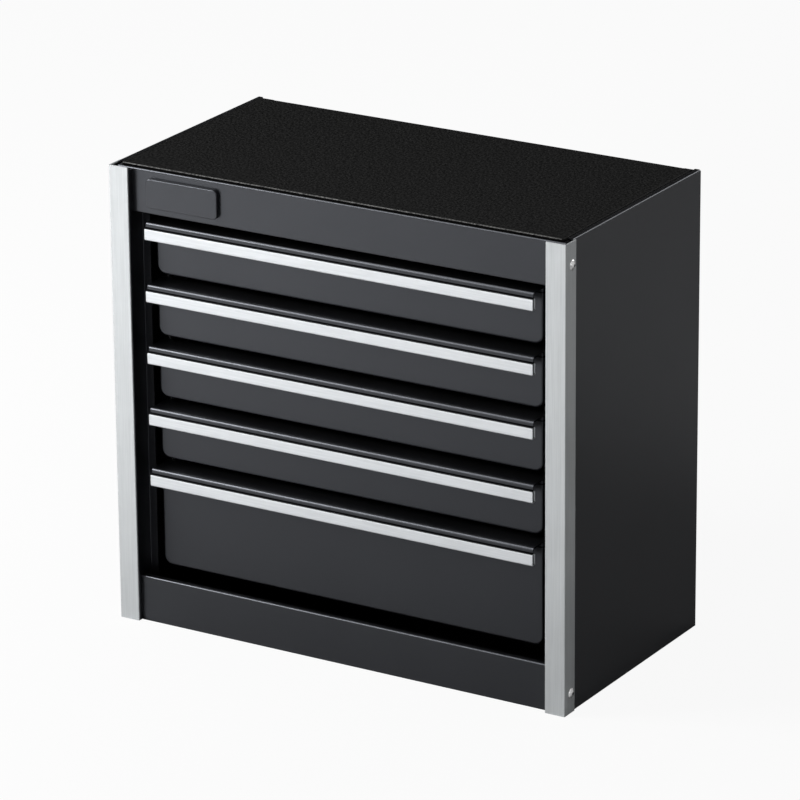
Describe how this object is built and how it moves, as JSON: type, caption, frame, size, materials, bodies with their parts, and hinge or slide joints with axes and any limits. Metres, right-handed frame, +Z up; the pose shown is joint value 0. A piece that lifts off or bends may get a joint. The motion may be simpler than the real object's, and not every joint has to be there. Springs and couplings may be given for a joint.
{
  "type": "drawer tool box",
  "caption": "Small steel drawer chest with shallow drawers over a deep one on ball slides, aluminium handle profiles and corner strips, and a rubber mat on top.",
  "frame": {"origin": "on the floor under the middle of the chest", "axes": "+X to the right as seen from the front, +Y from the drawers to the back, +Z up"},
  "size_m": [0.3196, 0.167, 0.2955],
  "materials": {
    "shell_paint": "satin black",
    "drawer_paint": "satin black",
    "strip_aluminium": "satin anodised",
    "handle_aluminium": "satin anodised",
    "rivet_aluminium": "bright",
    "mat_rubber": "fine grain",
    "badge_plastic": "satin",
    "slide_steel": "zinc plated"
  },
  "bodies": {
    "cabinet": {"left_side": "shell_paint", "right_side": "shell_paint", "top_panel": "shell_paint", "bottom_panel": "shell_paint", "back_panel": "shell_paint", "header_rail": "shell_paint", "base_rail": "shell_paint", "left_corner_strip": "strip_aluminium", "right_corner_strip": "strip_aluminium", "corner_rivets": "rivet_aluminium", "top_mat": "mat_rubber", "badge_plate": "badge_plastic", "left_front_upright": "slide_steel", "left_rear_upright": "slide_steel", "right_front_upright": "slide_steel", "right_rear_upright": "slide_steel", "cabinet_1_left_rail": "slide_steel", "cabinet_1_right_rail": "slide_steel", "cabinet_2_left_rail": "slide_steel", "cabinet_2_right_rail": "slide_steel", "cabinet_3_left_rail": "slide_steel", "cabinet_3_right_rail": "slide_steel", "cabinet_4_left_rail": "slide_steel", "cabinet_4_right_rail": "slide_steel", "cabinet_5_left_rail": "slide_steel", "cabinet_5_right_rail": "slide_steel"},
    "drawer_1": {"drawer_1_front": "drawer_paint", "drawer_1_tray": "drawer_paint", "drawer_1_handle": "handle_aluminium", "drawer_1_left_rail": "slide_steel", "drawer_1_right_rail": "slide_steel"},
    "ball_cages_1": {"drawer_1_ball_cages": "slide_steel"},
    "drawer_2": {"drawer_2_front": "drawer_paint", "drawer_2_tray": "drawer_paint", "drawer_2_handle": "handle_aluminium", "drawer_2_left_rail": "slide_steel", "drawer_2_right_rail": "slide_steel"},
    "ball_cages_2": {"drawer_2_ball_cages": "slide_steel"},
    "drawer_3": {"drawer_3_front": "drawer_paint", "drawer_3_tray": "drawer_paint", "drawer_3_handle": "handle_aluminium", "drawer_3_left_rail": "slide_steel", "drawer_3_right_rail": "slide_steel"},
    "ball_cages_3": {"drawer_3_ball_cages": "slide_steel"},
    "drawer_4": {"drawer_4_front": "drawer_paint", "drawer_4_tray": "drawer_paint", "drawer_4_handle": "handle_aluminium", "drawer_4_left_rail": "slide_steel", "drawer_4_right_rail": "slide_steel"},
    "ball_cages_4": {"drawer_4_ball_cages": "slide_steel"},
    "drawer_5": {"drawer_5_front": "drawer_paint", "drawer_5_tray": "drawer_paint", "drawer_5_handle": "handle_aluminium", "drawer_5_left_rail": "slide_steel", "drawer_5_right_rail": "slide_steel"},
    "ball_cages_5": {"drawer_5_ball_cages": "slide_steel"}
  },
  "joints": [
    {"name": "drawer_1_slide", "type": "slide", "parent": "cabinet", "child": "drawer_1", "axis": [0, -1, 0], "range_m": [0, 0.095]},
    {"name": "drawer_2_slide", "type": "slide", "parent": "cabinet", "child": "drawer_2", "axis": [0, -1, 0], "range_m": [0, 0.095]},
    {"name": "drawer_3_slide", "type": "slide", "parent": "cabinet", "child": "drawer_3", "axis": [0, -1, 0], "range_m": [0, 0.095]},
    {"name": "drawer_4_slide", "type": "slide", "parent": "cabinet", "child": "drawer_4", "axis": [0, -1, 0], "range_m": [0, 0.095]},
    {"name": "drawer_5_slide", "type": "slide", "parent": "cabinet", "child": "drawer_5", "axis": [0, -1, 0], "range_m": [0, 0.095]},
    {"name": "ball_cages_1_slide", "type": "slide", "parent": "cabinet", "child": "ball_cages_1", "axis": [0, -1, 0], "range_m": [0, 0.0475]},
    {"name": "ball_cages_2_slide", "type": "slide", "parent": "cabinet", "child": "ball_cages_2", "axis": [0, -1, 0], "range_m": [0, 0.0475]},
    {"name": "ball_cages_3_slide", "type": "slide", "parent": "cabinet", "child": "ball_cages_3", "axis": [0, -1, 0], "range_m": [0, 0.0475]},
    {"name": "ball_cages_4_slide", "type": "slide", "parent": "cabinet", "child": "ball_cages_4", "axis": [0, -1, 0], "range_m": [0, 0.0475]},
    {"name": "ball_cages_5_slide", "type": "slide", "parent": "cabinet", "child": "ball_cages_5", "axis": [0, -1, 0], "range_m": [0, 0.0475]}
  ],
  "couplings": [
    {"joint": "ball_cages_1_slide", "follows": "drawer_1_slide", "ratio": 0.5},
    {"joint": "ball_cages_2_slide", "follows": "drawer_2_slide", "ratio": 0.5},
    {"joint": "ball_cages_3_slide", "follows": "drawer_3_slide", "ratio": 0.5},
    {"joint": "ball_cages_4_slide", "follows": "drawer_4_slide", "ratio": 0.5},
    {"joint": "ball_cages_5_slide", "follows": "drawer_5_slide", "ratio": 0.5}
  ]
}
